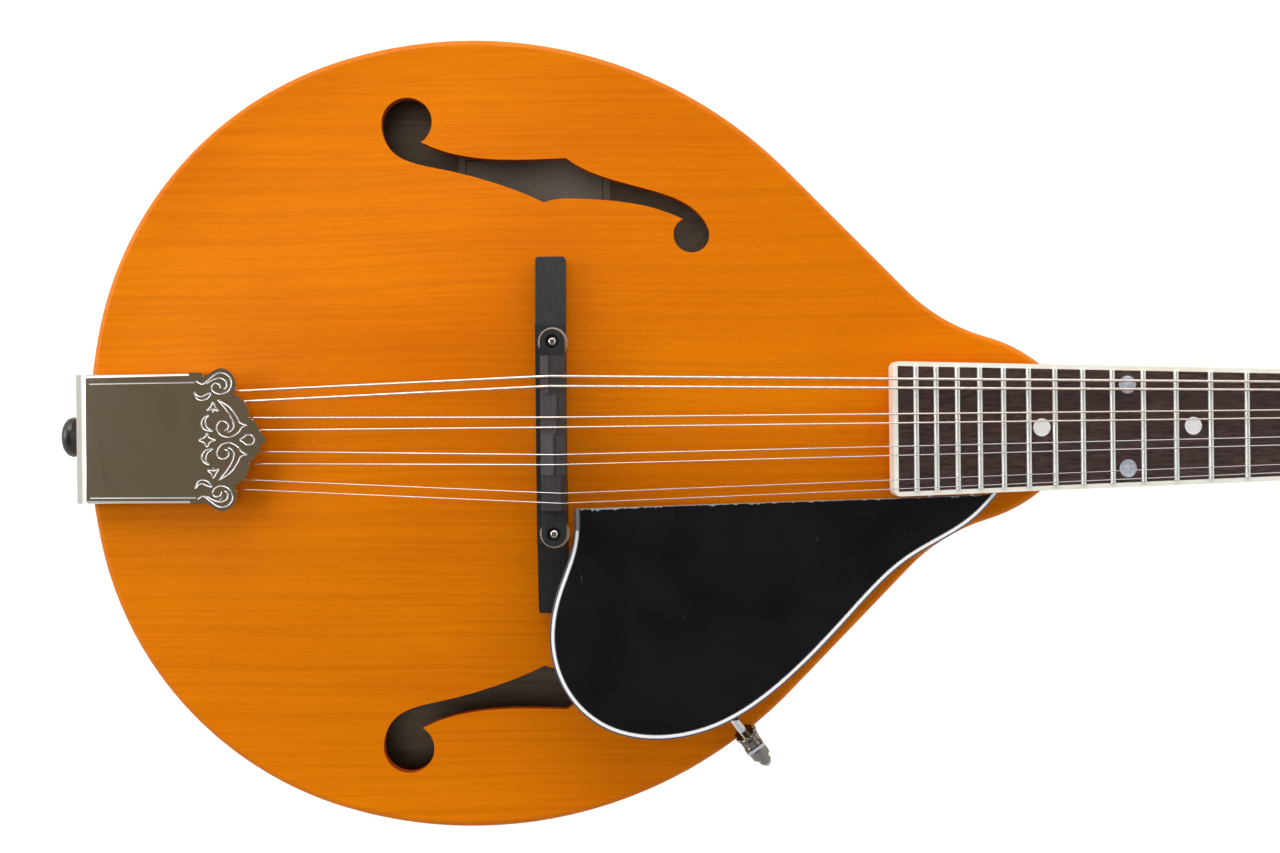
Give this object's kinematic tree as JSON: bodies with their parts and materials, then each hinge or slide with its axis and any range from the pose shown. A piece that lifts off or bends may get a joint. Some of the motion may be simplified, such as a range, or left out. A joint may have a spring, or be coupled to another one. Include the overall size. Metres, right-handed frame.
{
  "type": "mandolin",
  "caption": "Teardrop-bodied archtop mandolin with two f-holes, a floating bridge, a stamped tailpiece, paired strings on geared tuners and a raised guard.",
  "frame": {"origin": "middle of the strap button's head, on its axis at the tail of the body", "axes": "+X from the tail to the headstock along the centreline, +Y towards the bass strings, +Z out of the soundboard, with the instrument on its back"},
  "size_m": [0.6523, 0.2596, 0.0945],
  "materials": {
    "amber_spruce": "high-gloss amber lacquer over spruce",
    "amber_maple": "high-gloss amber lacquer over maple",
    "inner_wood": "bare wood",
    "label_paper": "uncoated paper",
    "ebony": "satin",
    "rosewood": "oiled, open grain",
    "cream_binding": "polished",
    "nickel_silver": "polished",
    "pearl": "pearl",
    "bone": "polished bone",
    "steel": "satin",
    "nickel_plate": "polished nickel plate",
    "pearl_button": "pearloid",
    "wheel_nickel": "worn nickel plate over brass",
    "chrome_plate": "polished",
    "button_black": "satin black",
    "guard_black": "high gloss",
    "guard_binding": "black, white and black layers",
    "cork": "cork",
    "wound_string": "bright bronze winding",
    "plain_string": "plain steel"
  },
  "bodies": {
    "mandolin": {"top_plate": "amber_spruce", "back_plate": "amber_maple", "rib_bass": "amber_maple", "rib_treble": "amber_maple", "neck": "amber_maple", "neck_block": "inner_wood", "tail_block": "inner_wood", "linings": "inner_wood", "tone_bars": "inner_wood", "label": "label_paper", "headstock_veneer": "ebony", "bridge_base": "ebony", "truss_rod": "steel", "pickguard_pins": "steel", "truss_rod_cover": "guard_black", "headstock_screws": "nickel_plate", "fingerboard": "rosewood", "fingerboard_binding": "cream_binding", "frets": "nickel_silver", "fret_markers": "pearl", "nut": "bone", "tuner_plate_bass": "nickel_plate", "tuner_plate_treble": "nickel_plate", "post_bushings": "nickel_plate", "bridge_posts": "chrome_plate", "tailpiece_base": "chrome_plate", "tailpiece_screws": "chrome_plate", "clamp_rod": "chrome_plate", "rim_clamp": "chrome_plate", "strap_button": "button_black", "pickguard": "guard_black", "pickguard_binding": "guard_binding", "pickguard_block": "button_black", "clamp_pad": "cork", "strings_g": "wound_string", "strings_d": "wound_string", "strings_a": "plain_string", "strings_e": "plain_string"},
    "saddle": {"bridge_saddle": "ebony"},
    "thumbwheel_bass_body": {"thumbwheel_bass": "wheel_nickel"},
    "thumbwheel_treble_body": {"thumbwheel_treble": "wheel_nickel"},
    "cover": {"tailpiece_cover": "chrome_plate"},
    "rod_nut": {"truss_rod_nut": "steel"},
    "clamp_barrel": {"clamp_nut": "chrome_plate"},
    "key_g1": {"tuner_key_g1": "pearl_button"},
    "string_post_g1": {"post_g1": "nickel_plate"},
    "key_g2": {"tuner_key_g2": "pearl_button"},
    "string_post_g2": {"post_g2": "nickel_plate"},
    "key_d1": {"tuner_key_d1": "pearl_button"},
    "string_post_d1": {"post_d1": "nickel_plate"},
    "key_d2": {"tuner_key_d2": "pearl_button"},
    "string_post_d2": {"post_d2": "nickel_plate"},
    "key_a1": {"tuner_key_a1": "pearl_button"},
    "string_post_a1": {"post_a1": "nickel_plate"},
    "key_a2": {"tuner_key_a2": "pearl_button"},
    "string_post_a2": {"post_a2": "nickel_plate"},
    "key_e1": {"tuner_key_e1": "pearl_button"},
    "string_post_e1": {"post_e1": "nickel_plate"},
    "key_e2": {"tuner_key_e2": "pearl_button"},
    "string_post_e2": {"post_e2": "nickel_plate"}
  },
  "joints": [
    {"name": "saddle_lift", "type": "slide", "parent": "mandolin", "child": "saddle", "axis": [0, 0, 1], "range_m": [-0.001, 0.0015], "deforming": ["strings_g", "strings_d", "strings_a", "strings_e"]},
    {"name": "thumbwheel_bass_turn", "type": "hinge", "parent": "saddle", "child": "thumbwheel_bass_body", "pos_m": [0.1677, 0.0285, 0.0455], "axis": [0, 0, 1], "range_deg": [-720.5, 1080.5]},
    {"name": "thumbwheel_treble_turn", "type": "hinge", "parent": "saddle", "child": "thumbwheel_treble_body", "pos_m": [0.1677, -0.0317, 0.0455], "axis": [0, 0, 1], "range_deg": [-720.5, 1080.5]},
    {"name": "cover_slide", "type": "slide", "parent": "mandolin", "child": "cover", "axis": [0.9861, 0, 0.166], "range_m": [0, 0.04]},
    {"name": "rod_nut_turn", "type": "hinge", "parent": "mandolin", "child": "rod_nut", "pos_m": [0.53738, 0, -0.00036], "axis": [0.9945, 0, -0.1045], "range_deg": [-180, 180]},
    {"name": "clamp_barrel_turn", "type": "hinge", "parent": "mandolin", "child": "clamp_barrel", "pos_m": [0.23246, -0.10521, 0.02392], "axis": [0.4787, -0.6886, -0.5446], "continuous": true},
    {"name": "key_g1_turn", "type": "hinge", "parent": "mandolin", "child": "key_g1", "pos_m": [0.54446, 0.02, -0.01583], "axis": [0, 1, 0], "continuous": true},
    {"name": "post_g1_turn", "type": "hinge", "parent": "mandolin", "child": "string_post_g1", "pos_m": [0.5561, 0.02, -0.00017], "axis": [0.2672, 0, 0.9636], "continuous": true},
    {"name": "key_g2_turn", "type": "hinge", "parent": "mandolin", "child": "key_g2", "pos_m": [0.56662, 0.02, -0.02197], "axis": [0, 1, 0], "continuous": true},
    {"name": "post_g2_turn", "type": "hinge", "parent": "mandolin", "child": "string_post_g2", "pos_m": [0.57826, 0.02, -0.00631], "axis": [0.2672, 0, 0.9636], "continuous": true},
    {"name": "key_d1_turn", "type": "hinge", "parent": "mandolin", "child": "key_d1", "pos_m": [0.58879, 0.02, -0.02812], "axis": [0, 1, 0], "continuous": true},
    {"name": "post_d1_turn", "type": "hinge", "parent": "mandolin", "child": "string_post_d1", "pos_m": [0.60042, 0.02, -0.01246], "axis": [0.2672, 0, 0.9636], "continuous": true},
    {"name": "key_d2_turn", "type": "hinge", "parent": "mandolin", "child": "key_d2", "pos_m": [0.61095, 0.02, -0.03427], "axis": [0, 1, 0], "continuous": true},
    {"name": "post_d2_turn", "type": "hinge", "parent": "mandolin", "child": "string_post_d2", "pos_m": [0.62259, 0.02, -0.01861], "axis": [0.2672, 0, 0.9636], "continuous": true},
    {"name": "key_e2_turn", "type": "hinge", "parent": "mandolin", "child": "key_e2", "pos_m": [0.54446, -0.02, -0.01583], "axis": [0, -1, 0], "continuous": true},
    {"name": "post_e2_turn", "type": "hinge", "parent": "mandolin", "child": "string_post_e2", "pos_m": [0.5561, -0.02, -0.00017], "axis": [0.2672, 0, 0.9636], "continuous": true},
    {"name": "key_e1_turn", "type": "hinge", "parent": "mandolin", "child": "key_e1", "pos_m": [0.56662, -0.02, -0.02197], "axis": [0, -1, 0], "continuous": true},
    {"name": "post_e1_turn", "type": "hinge", "parent": "mandolin", "child": "string_post_e1", "pos_m": [0.57826, -0.02, -0.00631], "axis": [0.2672, 0, 0.9636], "continuous": true},
    {"name": "key_a2_turn", "type": "hinge", "parent": "mandolin", "child": "key_a2", "pos_m": [0.58879, -0.02, -0.02812], "axis": [0, -1, 0], "continuous": true},
    {"name": "post_a2_turn", "type": "hinge", "parent": "mandolin", "child": "string_post_a2", "pos_m": [0.60042, -0.02, -0.01246], "axis": [0.2672, 0, 0.9636], "continuous": true},
    {"name": "key_a1_turn", "type": "hinge", "parent": "mandolin", "child": "key_a1", "pos_m": [0.61095, -0.02, -0.03427], "axis": [0, -1, 0], "continuous": true},
    {"name": "post_a1_turn", "type": "hinge", "parent": "mandolin", "child": "string_post_a1", "pos_m": [0.62259, -0.02, -0.01861], "axis": [0.2672, 0, 0.9636], "continuous": true}
  ],
  "couplings": [
    {"joint": "thumbwheel_bass_turn", "follows": "saddle_lift", "rad_per_m": 12566},
    {"joint": "thumbwheel_treble_turn", "follows": "saddle_lift", "rad_per_m": 12566},
    {"joint": "post_g1_turn", "follows": "key_g1_turn", "ratio": 0.071429},
    {"joint": "post_g2_turn", "follows": "key_g2_turn", "ratio": 0.071429},
    {"joint": "post_d1_turn", "follows": "key_d1_turn", "ratio": 0.071429},
    {"joint": "post_d2_turn", "follows": "key_d2_turn", "ratio": 0.071429},
    {"joint": "post_e2_turn", "follows": "key_e2_turn", "ratio": -0.071429},
    {"joint": "post_e1_turn", "follows": "key_e1_turn", "ratio": -0.071429},
    {"joint": "post_a2_turn", "follows": "key_a2_turn", "ratio": -0.071429},
    {"joint": "post_a1_turn", "follows": "key_a1_turn", "ratio": -0.071429}
  ]
}
